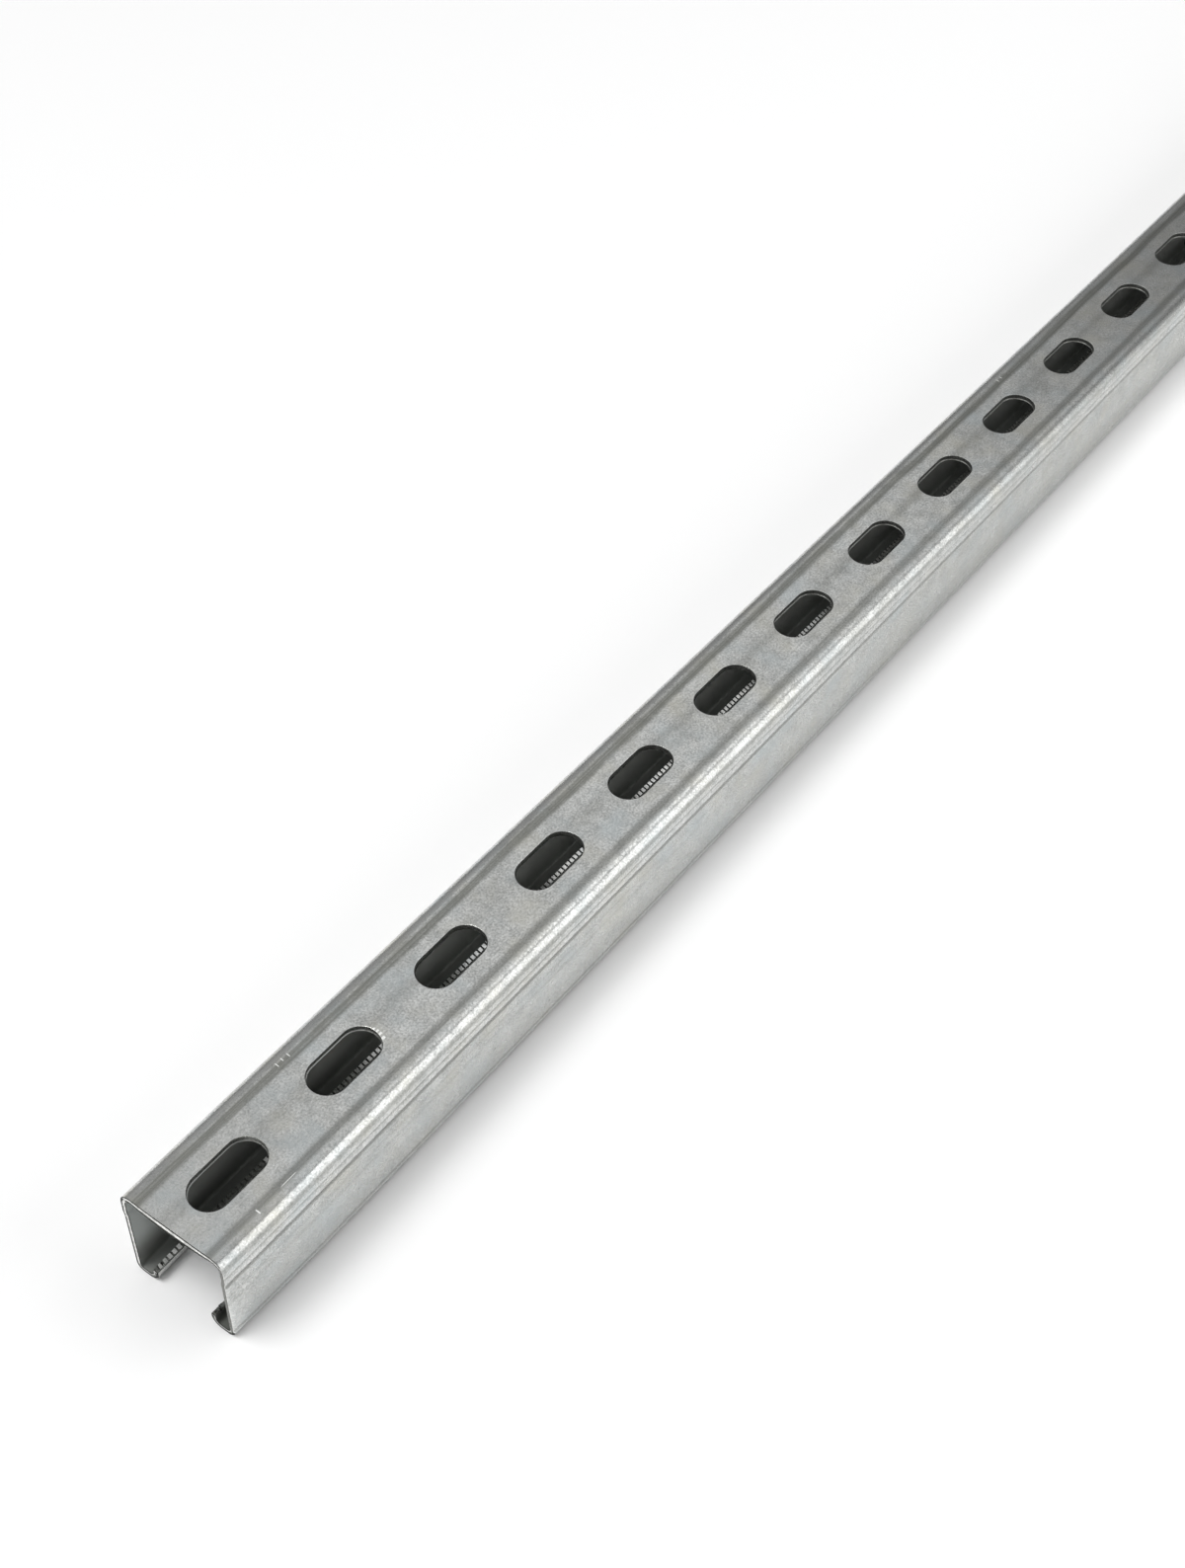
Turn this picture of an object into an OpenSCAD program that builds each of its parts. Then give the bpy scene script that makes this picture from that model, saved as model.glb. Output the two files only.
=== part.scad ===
// Slotted strut channel: one length of lipped channel, roll formed from galvanised steel strip.
// It lies on its two lips with the slotted web on top. X runs along the length, Y across it, Z up,
// and the origin is at the middle of the footprint.

/* [Channel] */
// Length of the piece
length = 1000; // [200:50:3000]
// Width over the two flanges
channel_w = 41.3; // [38:0.1:60]
// Height from the underside of the lips to the top of the web
channel_h = 41.3; // [20:0.1:82]
// Thickness of the strip
strip_t = 2; // [1.5:0.1:2.7]

/* [Bends] */
// Outside radius of the bends between the web and the flanges
web_bend_r = 5; // [3:0.1:6]
// Outside radius of the bends between the flanges and the lips
foot_bend_r = 3; // [2.8:0.1:4.5]
// Outside radius of the bends that turn the lips up
lip_bend_r = 4; // [3:0.1:4.5]

/* [Lips] */
// Width of a lip, from the flange's outside to the mouth
lip_w = 9.5; // [9:0.1:12]
// Height of a lip's turned up edge above the underside
lip_h = 6; // [5:0.1:9]

/* [Slots] */
// Length of a slot over its round ends
slot_l = 28; // [18:0.5:36]
// Width of a slot
slot_w = 14; // [9:0.5:17]
// Spacing of the slots along the length
slot_pitch = 50; // [40:1:100]
// Distance from each end to the centre of the slot nearest to it, at the least
slot_end = 25; // [20:1:50]

/* [Hidden] */
$fn = 96;

// The mouth is what the two lips leave open between them.
mouth_w = channel_w - 2 * lip_w;
// Where a lip leaves the floor of the section and starts to turn up
lip_turn_y = mouth_w / 2 + lip_bend_r;
// How far a cutter reaches past the face that it cuts
past = 1;

slot_count = floor((length - 2 * slot_end) / slot_pitch) + 1;
slot_run = (slot_count - 1) * slot_pitch;
slot_straight = slot_l - slot_w;
first_slot_x = -slot_run / 2;

// A rectangle on the Y axis with round corners, its own radius at the top and at the bottom
module round_box(w, h, top_r, bottom_r) {
    for (side = [0, 1])
        mirror([side, 0])
            difference() {
                square([w / 2, h]);
                translate([w / 2, h])
                    rotate(180)
                        corner_waste(top_r);
                translate([w / 2, 0])
                    rotate(90)
                        corner_waste(bottom_r);
            }
}

// What a round of radius r takes off a corner at the origin, the material being at +X +Y
module corner_waste(r) {
    difference() {
        translate([-past, -past])
            square(r + past);
        translate([r, r])
            circle(r);
    }
}

// One lip past its turn: a quarter bend, then the upright edge
module lip() {
    intersection() {
        translate([lip_turn_y, lip_bend_r])
            difference() {
                circle(lip_bend_r);
                circle(lip_bend_r - strip_t);
            }
        translate([mouth_w / 2 - past, -past])
            square([lip_bend_r + past, lip_bend_r + past]);
    }
    translate([mouth_w / 2, lip_bend_r])
        square([strip_t, lip_h - lip_bend_r]);
}

// The hollow of the channel with its mouth, round the two lips
module hollow() {
    difference() {
        union() {
            translate([0, strip_t])
                round_box(
                    channel_w - 2 * strip_t,
                    channel_h - 2 * strip_t,
                    web_bend_r - strip_t,
                    foot_bend_r - strip_t
                );
            translate([-lip_turn_y, -past])
                square([2 * lip_turn_y, strip_t + 2 * past]);
        }
        for (side = [0, 1])
            mirror([side, 0])
                lip();
    }
}

// The rolled section, across the length
module section() {
    difference() {
        round_box(channel_w, channel_h, web_bend_r, foot_bend_r);
        hollow();
    }
}

// One punched slot with round ends, through the web
module slot() {
    for (end = [-1, 1])
        translate([end * slot_straight / 2, 0, 0])
            cylinder(h = strip_t + 2 * past, d = slot_w);
    translate([-slot_straight / 2, -slot_w / 2, 0])
        cube([slot_straight, slot_w, strip_t + 2 * past]);
}

module strut_channel() {
    color("#AEB2AE")
        difference() {
            translate([-length / 2, 0, 0])
                rotate([90, 0, 90])
                    linear_extrude(length)
                        section();
            for (i = [0 : slot_count - 1])
                translate([first_slot_x + i * slot_pitch, 0, channel_h - strip_t - past])
                    slot();
        }
}

strut_channel();
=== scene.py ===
import math

import bmesh
import bpy
from mathutils import Euler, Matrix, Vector


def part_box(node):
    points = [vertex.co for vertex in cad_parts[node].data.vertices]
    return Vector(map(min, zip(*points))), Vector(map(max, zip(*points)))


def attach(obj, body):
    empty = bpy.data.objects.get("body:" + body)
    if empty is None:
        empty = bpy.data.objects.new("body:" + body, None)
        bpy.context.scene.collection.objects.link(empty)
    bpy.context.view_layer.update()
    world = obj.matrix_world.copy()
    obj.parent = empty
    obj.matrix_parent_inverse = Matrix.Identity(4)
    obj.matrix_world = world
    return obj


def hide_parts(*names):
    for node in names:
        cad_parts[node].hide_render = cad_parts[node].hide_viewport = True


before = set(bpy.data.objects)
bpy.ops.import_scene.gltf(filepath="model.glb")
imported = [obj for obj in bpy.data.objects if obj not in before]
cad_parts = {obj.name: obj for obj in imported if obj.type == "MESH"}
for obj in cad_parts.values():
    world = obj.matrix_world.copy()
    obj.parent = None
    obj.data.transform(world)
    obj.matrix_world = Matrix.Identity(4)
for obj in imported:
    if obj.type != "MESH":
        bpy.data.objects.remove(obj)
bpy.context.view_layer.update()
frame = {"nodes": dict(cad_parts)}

mm = 0.001      # sizes below are in millimetres, Blender's are in metres
touch = 0.01    # two places closer than this are one place
facing = 0.9    # a normal with more of an axis than this faces along it
wallTilt = 0.3  # and one with less of Z than this is a wall's
print("frame loaded:", ", ".join(frame["nodes"]))


def hexColour(code):
    # sRGB hex to the linear values that the shaders take
    channels = [int(code[i:i + 2], 16) / 255 for i in (1, 3, 5)]
    linear = [c / 12.92 if c <= 0.04045 else ((c + 0.055) / 1.055) ** 2.4 for c in channels]
    return (*linear, 1.0)


def addNode(tree, kind, inputs=None, **settings):
    node = tree.nodes.new(kind)
    for name, value in settings.items():
        setattr(node, name, value)
    for name, value in (inputs or {}).items():
        if isinstance(value, bpy.types.NodeSocket):
            tree.links.new(value, node.inputs[name])
        else:
            node.inputs[name].default_value = value
    return node


def openMesh(piece):
    # the mesh that is being edited, with nothing selected
    mesh = bmesh.from_edit_mesh(piece.data)
    for part in (*mesh.verts, *mesh.edges, *mesh.faces):
        part.select = False
    return mesh


def pick(piece, test):
    # selects the vertices whose place in millimetres passes the test, with the edges and faces between them
    mesh = openMesh(piece)
    for vert in mesh.verts:
        vert.select = test(*(vert.co / mm))
    mesh.select_flush_mode()
    bmesh.update_edit_mesh(piece.data)


def pickFaces(piece, test):
    # selects the faces whose centre in millimetres and normal pass the test
    mesh = openMesh(piece)
    for face in mesh.faces:
        if test(face.calc_center_median() / mm, face.normal, face):
            face.select_set(True)
    bmesh.update_edit_mesh(piece.data)


def pickEdges(piece, test):
    # selects the edges whose two ends in millimetres and whose faces pass the test
    mesh = openMesh(piece)
    for edge in mesh.edges:
        if test(*(vert.co / mm for vert in edge.verts), edge.link_faces):
            edge.select_set(True)
    bmesh.update_edit_mesh(piece.data)


def selectMode(kind):
    bpy.context.tool_settings.mesh_select_mode = tuple(kind == k for k in ("vertex", "edge", "face"))


def moveBy(x=0.0, y=0.0, z=0.0):
    bpy.ops.transform.translate(value=(x * mm, y * mm, z * mm))


def scaleAbout(factors, x=0.0, y=0.0, z=0.0):
    bpy.ops.transform.resize(value=factors, center_override=(x * mm, y * mm, z * mm))


def drawOut(x=0.0, y=0.0, z=0.0):
    bpy.ops.mesh.extrude_region_move(TRANSFORM_OT_translate={"value": (x * mm, y * mm, z * mm)})


def sweepRound(axis, degrees, steps, x=0.0, y=0.0, z=0.0):
    # sweeps the selected border round a line that runs through the place, along the axis
    bpy.ops.mesh.spin(steps=steps, angle=math.radians(degrees), center=(x * mm, y * mm, z * mm), axis=axis)


def applyModifier(piece, kind, **settings):
    bpy.ops.object.modifier_add(type=kind)
    modifier = piece.modifiers[-1]
    for name, value in settings.items():
        setattr(modifier, name, value)
    bpy.ops.object.modifier_apply(modifier=modifier.name)


# Strut channel, rolled from strip: sizes in millimetres, angles in degrees, places along it from the near end
strut = {
    "strip": 2.0,
    "webBend": 5.0,         # outside radii of the bends
    "footBend": 3.0,
    "lipBend": 4.0,
    "lipWidth": 9.5,
    "lipHeight": 6.0,
    "slotLength": 28.0,
    "slotWidth": 14.0,
    "slotPitch": 50.0,
    "slotRing": 4.5,        # plain web beside a slot, before the marks of the rolls
    "webDish": 0.12,        # how far the rolls press in the middle of the web
    "shoulder": 2.6,        # width of the slope from there up to the bends, and how its steps share it
    "shoulderSteps": (0.15, 0.35, 0.35, 0.15),
    "lean": 1.5,            # what a flange lacks of upright, from its bend down to the ledge
    "groove": (6.6, 0.1),   # line that the rolls left above the ledge: depth below the web, and its own depth
    "grooveSides": (0.5, 0.6),      # how far above and below the line its sides reach
    "ledge": (9.8, 0.36),   # ledge where the flange steps in: depth below the web, and how far in all
    "ledgeSteps": ((-0.3, 0.0), (0.0, 0.02), (0.8, 0.18), (1.6, 0.162), (2.1, 0.0)),    # drop and inward
    "toothPitch": 2.0,      # the teeth pressed in the lips' edges
    "toothGap": 0.7,
    "toothHeight": 0.6,
    "toothStep": 0.11,      # how far a tooth's flat stands up, on its mouth side
    "toothCrest": 0.45,     # where its crest starts, from the mouth side of the lip
    "toothLean": 0.1,
    "shadedTeeth": ((22.0, 47.0), (400.0, 1000.0)),   # from and to where the left lip's crests are painted darker: painted shade
    "litTeeth": 12.0,    # up to where the right lip's crests are bright steel: painted highlight
    "lipEdge": 0.3,         # chamfer along the mouth side of a lip
    "slotEdge": 0.26,       # edge that the punch draws in
    "bareEdge": (33.0, 42.0),       # the far end of the first slot, where that edge is painted darker: painted shade
    "slotLip": (0.3, 0.25),         # burr round the underside of a slot: height, and how far it juts in
    "freshSlots": 100.0,    # up to here the burr is painted lighter, then darker up to the next, then dull: painted highlight and painted shade
    "shadedBurrSlots": 300.0,
    "tornSlot": (88.7, -1.6, 3.3),  # tear at the second slot: place along and across, and half width
    "tear": (0.25, 0.1),            # how far it turns in and up
    "nearTrim": 0.95,       # what the saw took off each end, and how far it ran out of square
    "nearSkew": (0.0265, -0.019),
    "farTrim": 0.8,
    "farSkew": (-0.008, 0.004),
    "endEdge": 0.2,         # edge that the saw left round the cut ends
    "endLayers": (0.3, 0.4),        # and the two borders inside it
    "endBreak": 0.6,        # how far the underside of the web stands out of the near cut
    "breakReach": (0.45, 0.76),     # how far back that starts, and over what share of the width
    "toeReach": 45.0,       # the flanges spring in over this length at the near end
    "toeIn": (0.25, 0.95),  # by this much at the bend and at the foot
    "toeStart": 0.12,       # the first is reached at this share of the height
    "smoothAngle": 32.0,
    "arcSteps": 12,
    "bendSteps": 10,
    "footSteps": 6,
}

# The channel's own measures, from the frame and the sizes above
boxLow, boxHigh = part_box("strut_channel")
length, width, height = ((b - a) / mm for a, b in zip(boxLow, boxHigh))
nearEnd = -length / 2
halfWidth = width / 2
halfPitch = strut["slotPitch"] / 2
slotRadius = strut["slotWidth"] / 2
slotStraight = strut["slotLength"] / 2 - slotRadius     # half length of a slot's straight side
webTop = height - strut["webDish"]
webUnder = webTop - strut["strip"]
mouthSide = halfWidth - strut["lipWidth"]
toothRoot = strut["lipHeight"] - strut["toothHeight"]

# the piece's materials, by number, and how near a place has to be to a slot's outline to count as on it
coatMetal, cutMetal, brightMetal, insideMetal, burrMetal = range(5)
onWall, nearWall = 0.05, 0.3
alongX = (1, 0, 0)
alongZ = (0, 0, 1)


def fromSlot(x):
    # how far along a place is from the middle of its slot
    return (x - nearEnd) % strut["slotPitch"] - halfPitch


def onSlotRound(x, y, within):
    # if a place, seen from above, is on the outline of a slot
    return abs(math.hypot(max(abs(fromSlot(x)) - slotStraight, 0), y) - slotRadius) < within


def atEnd(x):
    endZone = 5.0   # the saw's marks stay within this much of an end
    return abs(x) > length / 2 - endZone


def rollHalfModule():
    # one slot with the strip beside it, from the middle of the web to the edge of one lip
    s = strut
    ringSide = slotRadius + s["slotRing"]
    bpy.ops.object.select_all(action="DESELECT")
    bpy.ops.mesh.primitive_plane_add(size=2 * slotRadius * mm, location=(0, 0, webTop * mm))
    piece = bpy.context.object
    bpy.ops.object.transform_apply(location=True)
    bpy.ops.object.mode_set(mode="EDIT")
    selectMode("vertex")

    # the slot's straight side, then its two quarter rounds
    scaleAbout((slotStraight / slotRadius, 1, 1))
    pick(piece, lambda x, y, z: y < 0)
    bpy.ops.mesh.delete(type="VERT")
    for side in (1, -1):
        pick(piece, lambda x, y, z: x * side > 0 and y > slotRadius - touch)
        sweepRound(alongZ, side * 90, s["arcSteps"], x=side * slotStraight, z=webTop)

    # the web round the slot: the same outline lifted off, spread to a rectangle and put down
    lift = 1.0
    corner = slotRadius * math.sqrt(0.5)

    def lifted(z):
        return z > webTop + lift / 2

    bpy.ops.mesh.select_all(action="SELECT")
    drawOut(z=lift)
    for side in (1, -1):
        pick(piece, lambda x, y, z: lifted(z) and x * side > slotStraight - touch and y > corner - touch)
        scaleAbout(((halfPitch - slotStraight) / corner, 1, 1), x=side * slotStraight)
        scaleAbout((1, 0, 1), y=ringSide)
        pick(piece, lambda x, y, z: lifted(z) and x * side > slotStraight + corner and y < corner - touch)
        scaleAbout((1, ringSide / corner, 1))
        scaleAbout((0, 1, 1), x=side * halfPitch)
    pick(piece, lambda x, y, z: lifted(z))
    moveBy(z=-lift)

    # across the web and down the flange, with what the rolls left on them
    lean = math.radians(s["lean"])
    bendDrop = s["webBend"] * (1 - math.sin(lean))
    ledgeDrop, ledgeIn = s["ledge"]
    leanOut = (ledgeDrop - bendDrop) * math.tan(lean)
    bendY = halfWidth - leanOut - s["webBend"] * math.cos(lean)
    pick(piece, lambda x, y, z: y > ringSide - touch)
    drawOut(y=bendY - ringSide - s["shoulder"])
    for share in s["shoulderSteps"]:
        drawOut(y=s["shoulder"] * share, z=s["webDish"] * share)
    sweepRound(alongX, 90 - s["lean"], s["bendSteps"], y=bendY, z=height - s["webBend"])
    grooveDrop, grooveIn = s["groove"]
    above, below = s["grooveSides"]
    level = bendDrop
    for drop, inward in (
        (grooveDrop - above, 0), (grooveDrop, grooveIn), (grooveDrop + below, -grooveIn),
        *((ledgeDrop + step, inward) for step, inward in s["ledgeSteps"]),
    ):
        down = drop - level
        outward = down * math.tan(lean) if drop <= ledgeDrop else 0
        drawOut(y=outward - inward, z=-down)
        level = drop
    drawOut(y=ledgeIn, z=-(height - level - s["footBend"]))

    # the foot, and the lip turned up from it
    sweepRound(alongX, 90, s["footSteps"], y=halfWidth - s["footBend"], z=s["footBend"])
    drawOut(y=-(s["lipWidth"] - s["footBend"] - s["lipBend"]))
    sweepRound(alongX, 90, s["footSteps"], y=mouthSide + s["lipBend"], z=s["lipBend"])
    drawOut(z=toothRoot - s["lipBend"])

    # the lip's edge divided by the teeth and no longer by the slot's outline
    def onLip(y, z):
        return toothRoot - touch < z < height / 2 and y < mouthSide + touch

    pick(piece, lambda x, y, z: onLip(y, z) and abs(x) < halfPitch - touch)
    bpy.ops.mesh.dissolve_verts()
    pick(piece, lambda x, y, z: onLip(y, z))
    bpy.ops.mesh.subdivide(number_cuts=round(s["slotPitch"] / s["toothPitch"]) - 1)
    bpy.ops.object.mode_set(mode="OBJECT")
    print("one slot rolled:", len(piece.data.polygons), "faces on one side")
    return piece


def rollStrip(materials):
    # the whole length, mirrored and repeated from one slot, sawn off and given its thickness
    s = strut
    piece = rollHalfModule()
    piece.name = "strutChannel"
    for material in materials:
        piece.data.materials.append(material)
    weld = touch * mm
    applyModifier(piece, "MIRROR", use_axis=(False, True, False), merge_threshold=weld)
    applyModifier(
        piece, "ARRAY", count=round(length / s["slotPitch"]), use_relative_offset=False,
        use_constant_offset=True, constant_offset_displace=(s["slotPitch"] * mm, 0, 0),
        use_merge_vertices=True, merge_threshold=weld,
    )
    bpy.ops.object.mode_set(mode="EDIT")
    bpy.ops.mesh.select_all(action="SELECT")
    moveBy(x=nearEnd + halfPitch)
    bpy.ops.mesh.remove_doubles(threshold=weld)
    bpy.ops.mesh.normals_make_consistent(inside=False)

    # both ends cut off a little out of square
    for side, trim, skew in ((-1, s["nearTrim"], s["nearSkew"]), (1, s["farTrim"], s["farSkew"])):
        bpy.ops.mesh.select_all(action="SELECT")
        bpy.ops.mesh.bisect(
            plane_co=(side * (length / 2 - trim) * mm, 0, 0), plane_no=(1, *skew),
            clear_inner=side < 0, clear_outer=side > 0,
        )
    bpy.ops.object.mode_set(mode="OBJECT")
    applyModifier(
        piece, "SOLIDIFY", thickness=s["strip"] * mm, offset=-1, use_even_offset=True,
        material_offset=insideMetal, material_offset_rim=cutMetal,
    )
    bpy.ops.object.mode_set(mode="EDIT")
    print("strip rolled and sawn:", len(bmesh.from_edit_mesh(piece.data).faces), "faces")
    return piece


def pressTeeth(piece):
    # a tooth is a small square on the lip's edge, with a crest on its pocket side that leans to the mouth
    s = strut
    crestStart = mouthSide + s["toothCrest"]
    toothStart = mouthSide + s["toothGap"] / 2
    toothEnd = mouthSide + s["strip"] - s["toothGap"] / 2
    wholeTooth = 0.95 * s["toothPitch"] * s["strip"] * mm * mm      # a tooth cut by the saw covers less
    nearMiddle = 0.2

    def onRoot(c, n):
        return n.z > facing and abs(c.z - toothRoot) < touch

    def onTooth(c, n):
        alongTooth = (c.x - nearEnd) % s["toothPitch"] - s["toothPitch"] / 2
        return onRoot(c, n) and abs(alongTooth) < nearMiddle and toothStart < abs(c.y) < toothEnd

    selectMode("face")
    pickFaces(piece, lambda c, n, f: onRoot(c, n) and f.calc_area() > wholeTooth)
    bpy.ops.mesh.inset(thickness=s["toothGap"] / 2 * mm, use_individual=True)
    bpy.ops.mesh.mark_sharp()
    for side in (1, -1):
        pickFaces(piece, lambda c, n, f: c.y * side > 0 and onTooth(c, n))
        bpy.ops.mesh.bisect(plane_co=(0, side * crestStart * mm, 0), plane_no=(0, 1, 0))
    pickFaces(piece, lambda c, n, f: onTooth(c, n))
    moveBy(z=s["toothStep"])
    mesh = bmesh.from_edit_mesh(piece.data)
    crests = [f for f in mesh.faces if f.select and abs(f.calc_center_median().y / mm) > crestStart]
    for face in crests:
        middle = face.calc_center_median()
        fromEnd = middle.x / mm - nearEnd
        # the left lip's crests darker in two stretches, the right lip's bright near the end: painted shade
        # and painted highlight
        if middle.y > 0:
            dull = any(start < fromEnd < end for start, end in s["shadedTeeth"])
            face.material_index = cutMetal if dull else coatMetal
        else:
            face.material_index = brightMetal if fromEnd < s["litTeeth"] else insideMetal
        for vert in face.verts:
            if abs(vert.co.y) > abs(middle.y):
                vert.co.z += (s["toothHeight"] - s["toothStep"]) * mm
                vert.co.y += math.copysign(s["toothLean"] * mm, middle.y)
    bmesh.update_edit_mesh(piece.data)

    # the left lip's teeth still have their zinc round the crests
    lipTop = s["lipHeight"] + touch
    pickFaces(
        piece, lambda c, n, f: toothRoot + touch / 2 < c.z < lipTop and abs(c.y) < mouthSide + s["strip"]
    )
    bpy.ops.mesh.quads_convert_to_tris(quad_method="BEAUTY", ngon_method="BEAUTY")
    for face in bmesh.from_edit_mesh(piece.data).faces:
        c = face.calc_center_median() / mm
        onCrest = abs(c.y) > crestStart and face.normal.z > wallTilt
        if face.select and face.material_index == cutMetal and c.y > 0 and not onCrest:
            face.material_index = insideMetal
    print("teeth pressed:", len(crests))


def trimSlots(piece):
    # what the punch left: a burr that juts in at the underside of a slot, and a drawn in edge on top
    s = strut
    burrHeight, burrReach = s["slotLip"]
    burrTop = webUnder + burrHeight

    def onCutWall(c, face):
        return face.material_index == cutMetal and onSlotRound(c.x, c.y, nearWall)

    pickFaces(piece, lambda c, n, f: c.z > webUnder and abs(n.z) < wallTilt and onCutWall(c, f))
    bpy.ops.mesh.bisect(plane_co=(0, 0, burrTop * mm), plane_no=alongZ)
    mesh = bmesh.from_edit_mesh(piece.data)
    for face in mesh.faces:
        c = face.calc_center_median() / mm
        fromEnd = c.x - nearEnd
        if not (webUnder < c.z < burrTop and onCutWall(c, face)):
            continue
        # the burr painted lighter in the first slots and darker in the next ones: painted highlight and
        # painted shade
        if s["freshSlots"] < fromEnd < s["shadedBurrSlots"]:
            face.material_index = burrMetal
        elif c.y > slotRadius / 2 and fromEnd < s["freshSlots"]:
            face.material_index = insideMetal
    for vert in mesh.verts:
        x, y, z = vert.co / mm
        if abs(z - webUnder) < touch and onSlotRound(x, y, onWall):
            along = fromSlot(x)
            outward = Vector((along - min(max(along, -slotStraight), slotStraight), y, 0.0))
            vert.co -= outward.normalized() * burrReach * mm
    bmesh.update_edit_mesh(piece.data)

    def onSlotEdge(v):
        return v.z > webTop - touch and onSlotRound(v.x, v.y, onWall)

    selectMode("edge")
    pickEdges(piece, lambda a, b, faces: onSlotEdge(a) and onSlotEdge(b))
    bpy.ops.mesh.bevel(offset=s["slotEdge"] * mm, segments=2, affect="EDGES")
    # the drawn in edge at the far end of the first slot painted darker: painted shade
    shadeFrom, shadeTo = s["bareEdge"]
    topTilt = 0.1
    for face in bmesh.from_edit_mesh(piece.data).faces:     # the bevel leaves its faces selected
        fromEnd = face.calc_center_median().x / mm - nearEnd
        if face.select and face.normal.z > topTilt and shadeFrom < fromEnd < shadeTo:
            face.material_index = cutMetal
    print("slots trimmed")


def trimEdges(piece):
    # edges that the rolls left along the lips and the saw left round the ends
    steep = 0.8     # the saw caught the crests' slopes too, so this is less than facing

    def onLipEdge(v):
        return abs(v.z - toothRoot) < touch and abs(v.y) < mouthSide + touch

    def onEndEdge(faces):
        cutFaces = [f for f in faces if f.material_index == cutMetal and abs(f.normal.x) > steep]
        return len(cutFaces) == 1 and len(faces) == 2

    selectMode("edge")
    pickEdges(piece, lambda a, b, faces: onLipEdge(a) and onLipEdge(b) and len(faces) == 2)
    bpy.ops.mesh.bevel(offset=strut["lipEdge"] * mm, segments=1, affect="EDGES", material=brightMetal)
    pickEdges(piece, lambda a, b, faces: atEnd(a.x) and atEnd(b.x) and onEndEdge(faces))
    bpy.ops.mesh.bevel(offset=strut["endEdge"] * mm, segments=1, affect="EDGES", material=burrMetal)


def cutPlace(c):
    # the part of the section that a place on a cut end is in, and if it is on that part's outer half
    s = strut
    half = s["strip"] / 2
    y = abs(c.y)
    up = c.z - height + s["webBend"]
    out = y - halfWidth + s["webBend"]
    if up > 0 and up > out:
        return "web", math.hypot(max(out, 0.0), up) > s["webBend"] - half
    if c.z > s["lipHeight"]:
        return "left" if c.y > 0 else "right", math.hypot(out, max(up, 0.0)) > s["webBend"] - half
    foot = y - halfWidth + s["footBend"]
    turn = mouthSide + s["lipBend"] - y
    if foot > 0:
        return "lip", math.hypot(foot, max(s["footBend"] - c.z, 0.0)) > s["footBend"] - half
    return "lip", math.hypot(max(turn, 0.0), max(s["lipBend"] - c.z, 0.0)) > s["lipBend"] - half


def layerCuts(piece):
    # a cut shows in layers: a dark torn border, bright steel inside it, and dull steel between the two
    # each part of the section has its border, the layer inside it and its core, on its outer and inner half
    layers = {
        "web": ((brightMetal, burrMetal), (brightMetal, burrMetal), (brightMetal, brightMetal)),
        "left": ((burrMetal, brightMetal), (burrMetal, brightMetal), (brightMetal, brightMetal)),
        "right": ((brightMetal, cutMetal), (cutMetal, cutMetal), (cutMetal, cutMetal)),
        "lip": ((burrMetal, brightMetal), (burrMetal, cutMetal), (cutMetal, cutMetal)),
    }

    def onCut(c, n, face):
        return atEnd(c.x) and abs(n.x) > facing and face.material_index == cutMetal

    selectMode("face")
    pickFaces(piece, onCut)
    settled = len(piece.data.materials)     # added to a face's material, so that it counts as done
    borders = strut["endLayers"]
    for layer in range(len(borders) + 1):
        core = layer == len(borders)
        if not core:
            bpy.ops.mesh.inset(thickness=borders[layer] * mm)
        for face in bmesh.from_edit_mesh(piece.data).faces:
            c = face.calc_center_median() / mm
            if onCut(c, face.normal, face) and face.select == core:
                part, outer = cutPlace(c)
                face.material_index = settled + layers[part][layer][0 if outer else 1]
    for face in bmesh.from_edit_mesh(piece.data).faces:
        c = face.calc_center_median() / mm
        if face.material_index >= settled:
            face.material_index -= settled
        elif face.material_index == burrMetal and cutPlace(c) == ("right", True):
            face.material_index = coatMetal
    print("ends sawn in layers")


def tearSlot(piece):
    # tear that the punch left at the far end of the second slot
    tearX, tearY, tearHalf = strut["tornSlot"]
    tearIn, tearUp = strut["tear"]
    reachAlong, reachDown = 2.0, 0.2    # how far from its place it still moves the edge
    for vert in bmesh.from_edit_mesh(piece.data).verts:
        x, y, z = vert.co / mm
        share = 1 - ((y - tearY) / tearHalf) ** 2
        onEdge = z > webTop - reachDown and onSlotRound(x, y, nearWall)
        if abs(x - nearEnd - tearX) < reachAlong and share > 0 and onEdge:
            vert.co.x -= tearIn * share * mm
            vert.co.z += tearUp * share * mm
    bmesh.update_edit_mesh(piece.data)


def springNearEnd(piece):
    # at the near end the flanges spring in a little, and the cut leaves the underside of the web longer
    s = strut
    skewY, skewZ = s["nearSkew"]
    toeTop, toeFoot = s["toeIn"]
    breakBack, breakShare = s["breakReach"]
    webDepth = s["strip"] + 0.2     # a little more than the web, to take in its dish
    for vert in bmesh.from_edit_mesh(piece.data).verts:
        x, y, z = vert.co / mm
        along = max(0.0, 1 - (x - nearEnd) / s["toeReach"])
        down = min(max((height - z) / height, 0.0), 1.0)
        side = y / halfWidth
        toe = toeTop * min(down / s["toeStart"], 1.0) + (toeFoot - toeTop) * down
        vert.co.y -= toe * along ** 2 * math.copysign(min(abs(side), 1.0), side) * mm
        cutX = nearEnd + s["nearTrim"] - skewY * y - skewZ * z
        if x - cutX < breakBack and z > height - webDepth:
            under = min((height - z) / s["strip"], 1.0)
            vert.co.x -= s["endBreak"] * under * max(0.0, 1 - (side / breakShare) ** 2) * mm
    bmesh.update_edit_mesh(piece.data)


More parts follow.
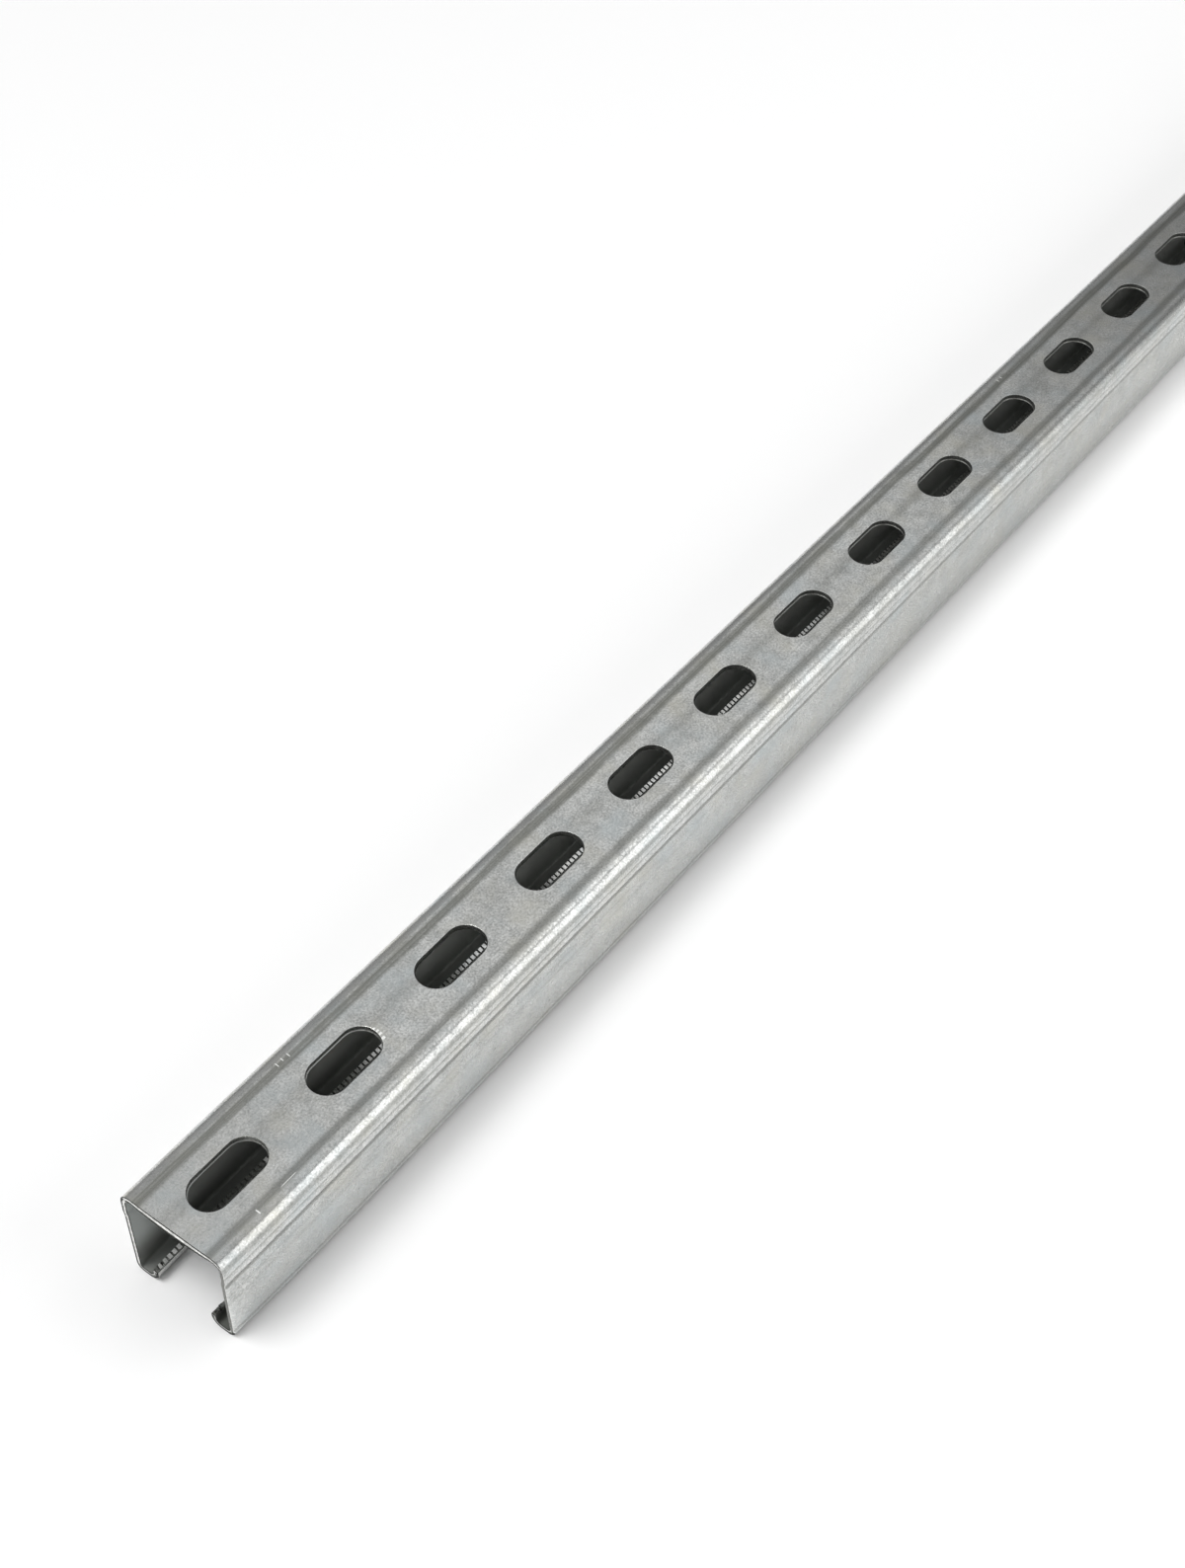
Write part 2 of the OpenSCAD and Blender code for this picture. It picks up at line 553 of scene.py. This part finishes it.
def modelStrut(materials):
    piece = rollStrip(materials)
    pressTeeth(piece)
    trimSlots(piece)
    trimEdges(piece)
    layerCuts(piece)
    tearSlot(piece)
    springNearEnd(piece)
    bpy.ops.object.mode_set(mode="OBJECT")
    bpy.ops.object.shade_smooth_by_angle(angle=math.radians(strut["smoothAngle"]))
    applyModifier(piece, "WEIGHTED_NORMAL", keep_sharp=True)
    print("strut channel done:", sum(len(p.vertices) - 2 for p in piece.data.polygons), "triangles")
    return piece


# Zinc coat of the strip: places in millimetres, those along the length from the near end
zinc = {
    "bright": "#E6E7E5",        # the coat where it is clean
    "grey": "#9A9C9A",          # where it has dulled in the air
    "warm": "#C9C7BC",          # faint tints of its spangle
    "cool": "#BFC8CB",
    "rubbedAndShade": "#72736D",        # where the forming rolls rubbed it and left a trace of oil, and painted shade along the bends, the flanges and the far sides
    "fresh": "#F4F5F3",         # nicks and scratches, and the colour of the painted highlights
    "roughness": (0.24, 0.34),
    "tornRoughness": 0.8,       # in the nicks
    "cloud": 6.0,               # sizes of the blotches, the spangle, the grain and the patches of tint
    "spangle": 2.4,
    "grain": 0.7,
    "tint": 15.0,
    "streak": (90.0, 0.55),     # length and width of the rolling marks
    "relief": 0.012,            # height of the grain
    "dull": 0.48,               # how dull it is on the whole
    # and how each pattern changes that: the range of its noise, and its share
    "dulling": {
        "cloud": (0.32, 0.68, 0.34), "spangle": (0.0, 1.0, 0.12),
        "grain": (0.34, 0.66, 0.58), "streak": (0.3, 0.7, 0.07),
    },
    # noise from and to where a tint goes from none to its full share
    "warmNoise": (0.52, 0.75),
    "coolNoise": (0.48, 0.25),
    "tintShare": 0.6,
    "webRim": (1.1, 0.4),       # depths below the web's top between which the web's marks fade in
    "wander": (0.03, 0.12, 0.4),        # how often the bands wander along and across, and how far
    "wanderNoise": (0.3, 0.7),
    "patchy": (0.8, 1.2),       # how much the streaks weaken and strengthen them
    "smudgeSize": 9.0,
    "smudge": (2.0, 7.0, 0.42), # marks between the slots: place across, half width, strength
    "smudgeNoise": (0.52, 0.72),
    "stainNoise": (0.4, 0.62),
    "farSideShade": (180.0, 430.0, 0.22),   # from here to there the sides are painted darker towards the far end, up to this share: painted shade
    "wear": (150.0, 320.0, 1.35),       # from here to there the middle's marks grow by this factor
    # rubbed bands along the web: place across it, half width, fade, strength
    "webBands": ((13.6, 0.7, 1.8, 0.74), (-14.4, 0.6, 2.1, 0.5)),
    "midBand": (3.0, 0.3, 3.6, 0.22),
    # and lines along the bends and the flanges, most of them painted shade: the dark line below the bend's
    # highlight, the creases, and the foot with the shadow under it; the two faint ones in the middle of the
    # flange are rolling marks. Height, half width, fade, strength
    "sideLinesAndShade": (
        (38.1, 0.4, 0.9, 0.42), (34.5, 0.25, 0.4, 0.36), (29.9, 0.6, 1.1, 0.6), (24.2, 0.3, 0.9, 0.12),
        (20.2, 0.4, 1.0, 0.12), (4.4, 0.3, 0.7, 0.36), (1.3, 0.7, 0.6, 0.6),
    ),
    # lines painted lighter along the sides and on the web's left bend: painted highlights
    "paintedSheen": (
        (35.5, 0.3, 0.5, 0.25), (32.4, 0.3, 0.6, 0.25), (8.0, 5.0, 13.0, 0.32), (2.7, 0.3, 0.6, 0.5),
    ),
    "webSheen": ((16.9, 0.3, 0.8, 0.4),),
    # stains on the web: place along and across, half length, half width, strength
    "stains": (
        (43.0, 1.0, 8.0, 9.0, 0.3), (98.0, 3.0, 14.0, 6.0, 0.16), (197.0, 2.0, 12.0, 8.0, 0.3),
        (250.0, 1.0, 16.0, 9.0, 0.32), (300.0, 2.0, 16.0, 9.0, 0.36), (345.0, 1.0, 18.0, 9.0, 0.4),
        (452.0, 2.0, 16.0, 10.0, 0.5), (500.0, 1.0, 18.0, 10.0, 0.55),
    ),
    # nicks and scratches on the web and on the right flange, and pits in that: centre, then size
    "webNicks": (
        (21.4, -15.6, 0.5, 2.2), (34.5, -15.2, 7.5, 0.25), (61.2, 14.6, 0.35, 2.0), (63.6, 14.8, 0.3, 1.6),
        (66.0, 14.5, 0.35, 1.8), (491.0, 14.6, 0.35, 2.0), (493.6, 14.7, 0.35, 1.8), (89.3, 0.6, 0.9, 0.8),
        (89.3, -0.75, 1.3, 0.9), (89.1, -2.15, 1.5, 1.0), (88.5, -3.9, 1.6, 1.2),
    ),
    "flangeNicks": (
        (21.0, 23.7, 11.0, 0.22), (57.0, 23.6, 14.0, 0.2), (112.0, 23.6, 20.0, 0.2), (178.0, 23.5, 24.0, 0.2),
    ),
    "pits": ((56.0, 13.3, 0.9, 0.8), (121.0, 13.3, 0.9, 0.8), (149.0, 9.3, 1.0, 0.9)),
    "markStrength": {"webNicks": 0.9, "flangeNicks": 0.5, "pits": 0.6},
    "markCore": 0.6,            # share of a mark's size over which it is at full strength
    "markDepth": 1.2,           # how far off its own face a mark still shows, and a stain
    "stainDepth": 2.0,
}


def startMetal(name, roughness=0.5):
    # a bare metal, and the place on the piece in millimetres, for patterns at their real sizes
    material = bpy.data.materials.new(name)
    material.use_nodes = True
    tree = material.node_tree
    shader = tree.nodes["Principled BSDF"]
    shader.inputs["Metallic"].default_value = 1.0
    shader.inputs["Roughness"].default_value = roughness
    shape = addNode(tree, "ShaderNodeTexCoord").outputs["Object"]
    place = addNode(tree, "ShaderNodeVectorMath", {0: shape, "Scale": 1 / mm}, operation="SCALE").outputs[0]
    return material, tree, shader, place


def bandAlong(tree, ruler, centre, half, fade, strength):
    # a band along the piece: full strength as far as its half width, then fading out
    offset = addNode(tree, "ShaderNodeMath", {0: ruler, 1: centre}, operation="SUBTRACT").outputs[0]
    away = addNode(tree, "ShaderNodeMath", {0: offset}, operation="ABSOLUTE").outputs[0]
    return addNode(
        tree, "ShaderNodeMapRange",
        {"Value": away, "From Min": half, "From Max": half + fade, "To Min": strength, "To Max": 0.0},
        interpolation_type="SMOOTHSTEP",
    ).outputs[0]


def strongest(tree, marks):
    # where marks overlap, the strongest one shows
    top = marks[0]
    for mark in marks[1:]:
        top = addNode(tree, "ShaderNodeMath", {0: top, 1: mark}, operation="MAXIMUM").outputs[0]
    return top


def coatPatterns(tree, place):
    # noise at the sizes that the coat shows
    z = zinc
    streakLength, streakWidth = z["streak"]
    stretch = (1 / streakLength, 1 / streakWidth, 1 / streakWidth)
    along = addNode(tree, "ShaderNodeVectorMath", {0: place, 1: stretch}, operation="MULTIPLY").outputs[0]
    return {
        "cloud": addNode(
            tree, "ShaderNodeTexNoise",
            {"Vector": place, "Scale": 1 / z["cloud"], "Detail": 4.0, "Roughness": 0.62},
        ).outputs["Fac"],
        "spangle": addNode(
            tree, "ShaderNodeTexVoronoi", {"Vector": place, "Scale": 1 / z["spangle"]},
        ).outputs["Color"],
        "grain": addNode(
            tree, "ShaderNodeTexNoise", {"Vector": place, "Scale": 1 / z["grain"], "Detail": 2.0},
        ).outputs["Fac"],
        "streak": addNode(
            tree, "ShaderNodeTexNoise", {"Vector": along, "Scale": 1.0, "Detail": 3.0},
        ).outputs["Fac"],
        "smudge": addNode(
            tree, "ShaderNodeTexNoise",
            {"Vector": place, "Scale": 1 / z["smudgeSize"], "Detail": 5.0, "Roughness": 0.65},
        ).outputs["Fac"],
        "tint": addNode(
            tree, "ShaderNodeTexNoise", {"Vector": place, "Scale": 1 / z["tint"], "Detail": 3.0},
        ).outputs["Fac"],
    }


def coatRubbedAndShade(tree, place, axes, across, onWeb, patterns):
    # bands and lines that the rolls rubbed, painted shade along the bends, the flanges and the far sides,
    # smudges and stains between the slots, as one strength
    z = zinc
    offWeb = addNode(tree, "ShaderNodeMath", {0: 1.0, 1: onWeb}, operation="SUBTRACT").outputs[0]
    wearFrom, wearTo, wearGrowth = z["wear"]
    wear = addNode(
        tree, "ShaderNodeMapRange",
        {"Value": axes["X"], "From Min": nearEnd + wearFrom, "From Max": nearEnd + wearTo,
         "To Min": 1.0, "To Max": wearGrowth},
    ).outputs[0]
    onMiddle = addNode(tree, "ShaderNodeMath", {0: onWeb, 1: wear}, operation="MULTIPLY").outputs[0]
    # painted shade: the sides darker towards the far end
    sideFrom, sideTo, sideShare = z["farSideShade"]
    farSideShade = addNode(
        tree, "ShaderNodeMapRange",
        {"Value": axes["X"], "From Min": nearEnd + sideFrom, "From Max": nearEnd + sideTo,
         "To Max": sideShare},
    ).outputs[0]
    bands = [addNode(tree, "ShaderNodeMath", {0: farSideShade, 1: offWeb}, operation="MULTIPLY").outputs[0]]
    for ruler, where, lines in (
        (across, onWeb, z["webBands"]), (across, onMiddle, [z["midBand"]]),
        (axes["Z"], offWeb, z["sideLinesAndShade"]),
    ):
        for line in lines:
            band = bandAlong(tree, ruler, *line)
            shown = addNode(tree, "ShaderNodeMath", {0: band, 1: where}, operation="MULTIPLY")
            bands.append(shown.outputs[0])
    weakest, thickest = z["patchy"]
    streakLow, streakHigh = z["dulling"]["streak"][:2]
    patchy = addNode(
        tree, "ShaderNodeMapRange",
        {"Value": patterns["streak"], "From Min": streakLow, "From Max": streakHigh,
         "To Min": weakest, "To Max": thickest},
    ).outputs[0]
    # the rubbed bands and the painted shade lines, broken up by the streaks
    rolled = addNode(
        tree, "ShaderNodeMath", {0: strongest(tree, bands), 1: patchy}, operation="MULTIPLY",
    ).outputs[0]

    # smudges, strongest along the middle
    smudgeY, smudgeHalf, smudgeStrength = z["smudge"]
    smudge = addNode(
        tree, "ShaderNodeMapRange",
        {"Value": patterns["smudge"], "From Min": z["smudgeNoise"][0], "From Max": z["smudgeNoise"][1],
         "To Max": smudgeStrength},
    ).outputs[0]
    for factor in (bandAlong(tree, axes["Y"], smudgeY, 0.0, smudgeHalf, 1.0), onMiddle):
        smudge = addNode(tree, "ShaderNodeMath", {0: smudge, 1: factor}, operation="MULTIPLY").outputs[0]

    # stains, broken up by the same noise
    blots = addNode(
        tree, "ShaderNodeMapRange",
        {"Value": patterns["smudge"], "From Min": z["stainNoise"][0], "From Max": z["stainNoise"][1]},
    ).outputs[0]
    marks = [rolled, smudge]
    for x, y, half, halfAcross, strength in z["stains"]:
        centre = (nearEnd + x, y, webTop)
        offset = addNode(tree, "ShaderNodeVectorMath", {0: place, 1: centre}, operation="SUBTRACT").outputs[0]
        halves = (half, halfAcross, z["stainDepth"])
        share = addNode(tree, "ShaderNodeVectorMath", {0: offset, 1: halves}, operation="DIVIDE").outputs[0]
        reach = addNode(tree, "ShaderNodeVectorMath", {0: share}, operation="LENGTH").outputs["Value"]
        stain = bandAlong(tree, reach, 0.0, 0.0, 1.0, strength)
        marks.append(addNode(tree, "ShaderNodeMath", {0: stain, 1: blots}, operation="MULTIPLY").outputs[0])
    return strongest(tree, marks)


def coatMarks(tree, place, group):
    # small marks with straight sides, on the web or on the right flange
    z = zinc
    depth = z["markDepth"]
    strength = z["markStrength"][group]
    marks = []
    for x, second, sizeAlong, sizeAcross in z[group]:
        if group == "webNicks":
            centre = (nearEnd + x, second, webTop)
            half = (sizeAlong / 2, sizeAcross / 2, depth)
        else:
            centre = (nearEnd + x, -halfWidth, second)
            half = (sizeAlong / 2, depth, sizeAcross / 2)
        offset = addNode(tree, "ShaderNodeVectorMath", {0: place, 1: centre}, operation="SUBTRACT").outputs[0]
        away = addNode(tree, "ShaderNodeVectorMath", {0: offset}, operation="ABSOLUTE").outputs[0]
        share = addNode(tree, "ShaderNodeVectorMath", {0: away, 1: half}, operation="DIVIDE").outputs[0]
        sides = addNode(tree, "ShaderNodeSeparateXYZ", {0: share}).outputs
        reach = strongest(tree, [sides["X"], sides["Y"], sides["Z"]])
        marks.append(addNode(
            tree, "ShaderNodeMapRange",
            {"Value": reach, "From Min": z["markCore"], "From Max": 1.0, "To Min": strength, "To Max": 0.0},
        ).outputs[0])
    return strongest(tree, marks)


def galvanisedSteel():
    # pre-galvanised strip: zinc from a hot bath, rolled flat, so a satin grey metal with blotches of spangle,
    # streaks along the rolling and dull bands where the forming rolls pressed, with painted shade and painted
    # highlights along the bends and the flanges
    z = zinc
    material, tree, shader, place = startMetal("galvanisedSteel")
    axes = addNode(tree, "ShaderNodeSeparateXYZ", {0: place}).outputs
    patterns = coatPatterns(tree, place)

    # how dull the coat is: blotches and grain, with some of the spangle and the streaks
    dulling = z["dull"]
    for name, (noiseLow, noiseHigh, share) in z["dulling"].items():
        part = addNode(
            tree, "ShaderNodeMapRange",
            {"Value": patterns[name], "From Min": noiseLow, "From Max": noiseHigh,
             "To Min": -share / 2, "To Max": share / 2},
        ).outputs[0]
        dulling = addNode(tree, "ShaderNodeMath", {0: dulling, 1: part}, operation="ADD").outputs[0]

    # the place across the web, wandering a little, and the web itself
    oftenAlong, oftenAcross, wanderReach = z["wander"]
    often = (oftenAlong, oftenAcross, oftenAcross)
    drift = addNode(tree, "ShaderNodeVectorMath", {0: place, 1: often}, operation="MULTIPLY").outputs[0]
    wander = addNode(
        tree, "ShaderNodeTexNoise", {"Vector": drift, "Scale": 1.0, "Detail": 1.0},
    ).outputs["Fac"]
    shift = addNode(
        tree, "ShaderNodeMapRange",
        {"Value": wander, "From Min": z["wanderNoise"][0], "From Max": z["wanderNoise"][1],
         "To Min": -wanderReach, "To Max": wanderReach},
    ).outputs[0]
    across = addNode(tree, "ShaderNodeMath", {0: axes["Y"], 1: shift}, operation="ADD").outputs[0]
    rimLow, rimHigh = z["webRim"]
    onWeb = addNode(
        tree, "ShaderNodeMapRange",
        {"Value": axes["Z"], "From Min": height - rimLow, "From Max": height - rimHigh},
    ).outputs[0]

    # what the rolls rubbed, painted shade along the bends and the flanges, painted highlights, nicks that
    # show fresh metal, and dark pits
    rubbedAndShade = strongest(
        tree, [coatRubbedAndShade(tree, place, axes, across, onWeb, patterns), coatMarks(tree, place, "pits")],
    )
    # painted highlights along the sides and on the web's left bend
    paintedSheen = strongest(tree, [
        *(bandAlong(tree, axes["Z"], *line) for line in z["paintedSheen"]),
        *(bandAlong(tree, across, *line) for line in z["webSheen"]),
    ])
    fresh = strongest(tree, [coatMarks(tree, place, "webNicks"), coatMarks(tree, place, "flangeNicks")])

    # faint tints, patch by patch
    tints = {}
    for name in ("warm", "cool"):
        noiseFrom, noiseTo = z[name + "Noise"]
        tints[name] = addNode(
            tree, "ShaderNodeMapRange",
            {"Value": patterns["tint"], "From Min": noiseFrom, "From Max": noiseTo, "To Max": z["tintShare"]},
        ).outputs[0]

    colour = hexColour(z["bright"])
    for factor, name in (
        (dulling, "grey"), (tints["warm"], "warm"), (tints["cool"], "cool"),
        (paintedSheen, "fresh"), (rubbedAndShade, "rubbedAndShade"), (fresh, "fresh"),
    ):
        colour = addNode(
            tree, "ShaderNodeMix", {0: factor, 6: colour, 7: hexColour(z[name])}, data_type="RGBA",
        ).outputs[2]
    smoothest, roughest = z["roughness"]
    satin = addNode(
        tree, "ShaderNodeMapRange", {"Value": dulling, "To Min": smoothest, "To Max": roughest},
    ).outputs[0]
    torn = addNode(
        tree, "ShaderNodeMath", {0: fresh, 1: z["tornRoughness"]}, operation="MULTIPLY",
    ).outputs[0]
    bump = addNode(tree, "ShaderNodeBump", {"Height": patterns["grain"], "Distance": z["relief"] * mm})
    tree.links.new(colour, shader.inputs["Base Color"])
    tree.links.new(strongest(tree, [satin, torn]), shader.inputs["Roughness"])
    tree.links.new(bump.outputs["Normal"], shader.inputs["Normal"])
    return material


# Zinc inside the channel: its darkest tone, then the tones laid over it in their order, most of them painted
# shade, with places in millimetres
insideCoat = {
    "roughness": 0.65,
    # darkest just behind the ends: painted shade
    "colour": "#A2A4A1",
    # along from the nearer end or up from the floor, start, where it is full, strength, blend, colour
    "overlays": {
        # lighter further in than just behind the ends
        "lighterFurtherIn": ("along", 30.0, 140.0, 1.0, "LINEAR", "#DADCD9"),
        # painted shade: darker again towards the middle
        "deepShade": ("along", 160.0, 380.0, 1.0, "LINEAR", "#C6C8C5"),
        # the inside's own light tone at the ends, where the painted shade stops
        "atEnds": ("along", 26.0, 3.0, 1.0, "SMOOTHSTEP", "#C4C8C6"),
        # painted shade: darker lower down at the ends
        "lowShade": ("up", 19.0, 8.0, 1.0, "SMOOTHSTEP", "#9EA09D"),
        # painted shade: darker on the lips' floor
        "lipFloorShade": ("up", 2.7, 2.05, 0.8, "LINEAR", "#888A87"),
        # painted shade: darker in the right lip's pocket at the ends
        "rightPocketShade": ("up", 10.0, 3.0, 1.0, "SMOOTHSTEP", "#666864"),
    },
}


def insideZinc():
    # the same coat inside the channel, with painted shade: darker just behind the ends and towards the
    # middle, lower down at the ends, on the lips' floor and in the right lip's pocket
    material, tree, shader, place = startMetal("insideZinc", insideCoat["roughness"])
    axes = addNode(tree, "ShaderNodeSeparateXYZ", {0: place}).outputs
    away = addNode(tree, "ShaderNodeMath", {0: axes["X"]}, operation="ABSOLUTE").outputs[0]
    fromEnd = addNode(tree, "ShaderNodeMath", {0: length / 2, 1: away}, operation="SUBTRACT").outputs[0]
    onRight = addNode(tree, "ShaderNodeMath", {0: axes["Y"], 1: 0.0}, operation="LESS_THAN").outputs[0]
    rulers = {"along": fromEnd, "up": axes["Z"]}
    limits = {"lowShade": ["atEnds"], "rightPocketShade": ["atEnds", "right"]}     # only at the ends, or only on the right
    shares = {"right": onRight}
    colour = hexColour(insideCoat["colour"])
    for name, (way, start, full, strength, blend, code) in insideCoat["overlays"].items():
        share = addNode(
            tree, "ShaderNodeMapRange",
            {"Value": rulers[way], "From Min": start, "From Max": full, "To Max": strength},
            interpolation_type=blend,
        ).outputs[0]
        for limit in limits.get(name, []):
            share = addNode(
                tree, "ShaderNodeMath", {0: share, 1: shares[limit]}, operation="MULTIPLY",
            ).outputs[0]
        shares[name] = share
        colour = addNode(
            tree, "ShaderNodeMix", {0: share, 6: colour, 7: hexColour(code)}, data_type="RGBA",
        ).outputs[2]
    tree.links.new(colour, shader.inputs["Base Color"])
    return material


def mottledMetal(name, roughness, spots, noiseRange, dark, light):
    # two tones that run into each other, with so many spots to the millimetre
    material, tree, shader, place = startMetal(name, roughness)
    mottle = addNode(
        tree, "ShaderNodeTexNoise", {"Vector": place, "Scale": spots, "Detail": 3.0},
    ).outputs["Fac"]
    factor = addNode(
        tree, "ShaderNodeMapRange", {"Value": mottle, "From Min": noiseRange[0], "From Max": noiseRange[1]},
    ).outputs[0]
    colour = addNode(
        tree, "ShaderNodeMix", {0: factor, 6: hexColour(dark), 7: hexColour(light)}, data_type="RGBA",
    ).outputs[2]
    tree.links.new(colour, shader.inputs["Base Color"])
    return material


def cutSteel():
    # bare steel where the punch and the saw went through the strip, dull and scored across its thickness
    return mottledMetal("cutSteel", 0.5, spots=2.2, noiseRange=(0.35, 0.65), dark="#666764", light="#989995")


def burnishedSteel():
    # edges that the tools pressed or tore: bright steel in short glints
    return mottledMetal(
        "burnishedSteel", 0.2, spots=0.9, noiseRange=(0.4, 0.6), dark="#C4C5C2", light="#F6F6F3",
    )


def sawBurr():
    # the torn border of a sawn end, in two dark tones that run into each other
    return mottledMetal("sawBurr", 0.55, spots=0.7, noiseRange=(0.4, 0.65), dark="#282927", light="#454643")


steels = (galvanisedSteel(), cutSteel(), burnishedSteel(), insideZinc(), sawBurr())
print("steels mixed:", ", ".join(steel.name for steel in steels))
strutChannel = modelStrut(steels)
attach(strutChannel, "root")
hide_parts("strut_channel")

# Studio: a white floor under soft light, sizes in metres
studio = {
    "floorSize": 12.0,
    "floorColour": "#F8F8F8",
    "floorRoughness": 0.9,
    # lamps: place, what they point at, size, power
    "lamps": {
        "overhead": ((-1.45, 1.0, 4.0), (-0.4, 0.0, 0.0), (2.0, 1.8), 102.0),
        "side": ((0.44, -0.95, 0.53), (0.44, 0.0, 0.4), (1.5, 1.0), 8.3),
        "back": ((1.2, 0.0, 2.15), (-0.2, 0.0, 0.04), (2.9, 1.85), 8.4),
        "front": ((-1.7, 0.45, 0.8), (-0.5, 0.0, 0.0), (1.6, 0.8), 5.0),
        "top": ((0.66, -0.52, 1.55), (-0.3, 0.0, 0.0), (0.7, 0.5), 1.1),
    },
    "horizon": 0.18,        # brightness of the room, level with the floor and straight up
    "zenith": 0.45,
    "brighter": (-0.1, 0.12, 0.0),      # how much brighter it is towards the front and the left
}

bpy.ops.object.select_all(action="DESELECT")
bpy.ops.mesh.primitive_plane_add(size=studio["floorSize"], location=(0, 0, 0))
floor = bpy.context.object
floor.name = "studioFloor"
floorPaint = bpy.data.materials.new("mattWhitePaper")   # plain paper: white, with no gloss
floorPaint.use_nodes = True
floorShader = floorPaint.node_tree.nodes["Principled BSDF"]
floorShader.inputs["Base Color"].default_value = hexColour(studio["floorColour"])
floorShader.inputs["Roughness"].default_value = studio["floorRoughness"]
floorShader.inputs["Specular IOR Level"].default_value = 0.0
floor.data.materials.append(floorPaint)

for lampName, (place, target, size, power) in studio["lamps"].items():
    bpy.ops.object.light_add(type="AREA", location=place)
    lamp = bpy.context.object
    lamp.name = lampName + "Softbox"
    lamp.rotation_euler = (Vector(target) - Vector(place)).to_track_quat("-Z", "Y").to_euler()
    lamp.data.shape = "RECTANGLE"
    lamp.data.size, lamp.data.size_y = size
    lamp.data.energy = power
    lamp.visible_camera = False

world = bpy.data.worlds.new("studioWorld")
bpy.context.scene.world = world
world.use_nodes = True
worldTree = world.node_tree
direction = addNode(worldTree, "ShaderNodeTexCoord").outputs["Generated"]
upward = addNode(worldTree, "ShaderNodeSeparateXYZ", {0: direction}).outputs["Z"]
rise = addNode(worldTree, "ShaderNodeMath", {0: upward, 1: upward}, operation="MULTIPLY").outputs[0]
glow = addNode(
    worldTree, "ShaderNodeMapRange", {"Value": rise, "To Min": studio["horizon"], "To Max": studio["zenith"]},
).outputs[0]
sideways = addNode(
    worldTree, "ShaderNodeVectorMath", {0: direction, 1: studio["brighter"]}, operation="DOT_PRODUCT",
).outputs["Value"]
glow = addNode(worldTree, "ShaderNodeMath", {0: glow, 1: sideways}, operation="ADD").outputs[0]
worldTree.links.new(glow, worldTree.nodes["Background"].inputs["Strength"])
worldTree.nodes["Background"].inputs["Color"].default_value = hexColour("#FFFFFF")

# Camera, at the photograph's angle: metres and degrees
view = {
    "place": (-0.6668, -0.2685, 0.5646),
    "azimuth": 36.39,       # from +X towards +Y
    "elevation": -48.17,
    "roll": 1.547,
    "lens": 47.64,          # millimetres, as is the sensor
    "sensor": 36.0,
    "nearest": 0.01,
}
bpy.ops.object.camera_add(location=view["place"])
camera = bpy.context.object
camera.name = "viewCamera"
turn = Euler((0, 0, math.radians(view["azimuth"] - 90))).to_matrix()
tilt = Euler((math.radians(90 + view["elevation"]), 0, 0)).to_matrix()
roll = Euler((0, 0, math.radians(view["roll"]))).to_matrix()
camera.rotation_euler = (turn @ tilt @ roll).to_euler()
camera.data.lens = view["lens"]
camera.data.sensor_width = view["sensor"]
camera.data.sensor_fit = "AUTO"
camera.data.clip_start = view["nearest"]
scene = bpy.context.scene
scene.camera = camera
scene.view_settings.view_transform = "Standard"
print("studio and camera set")
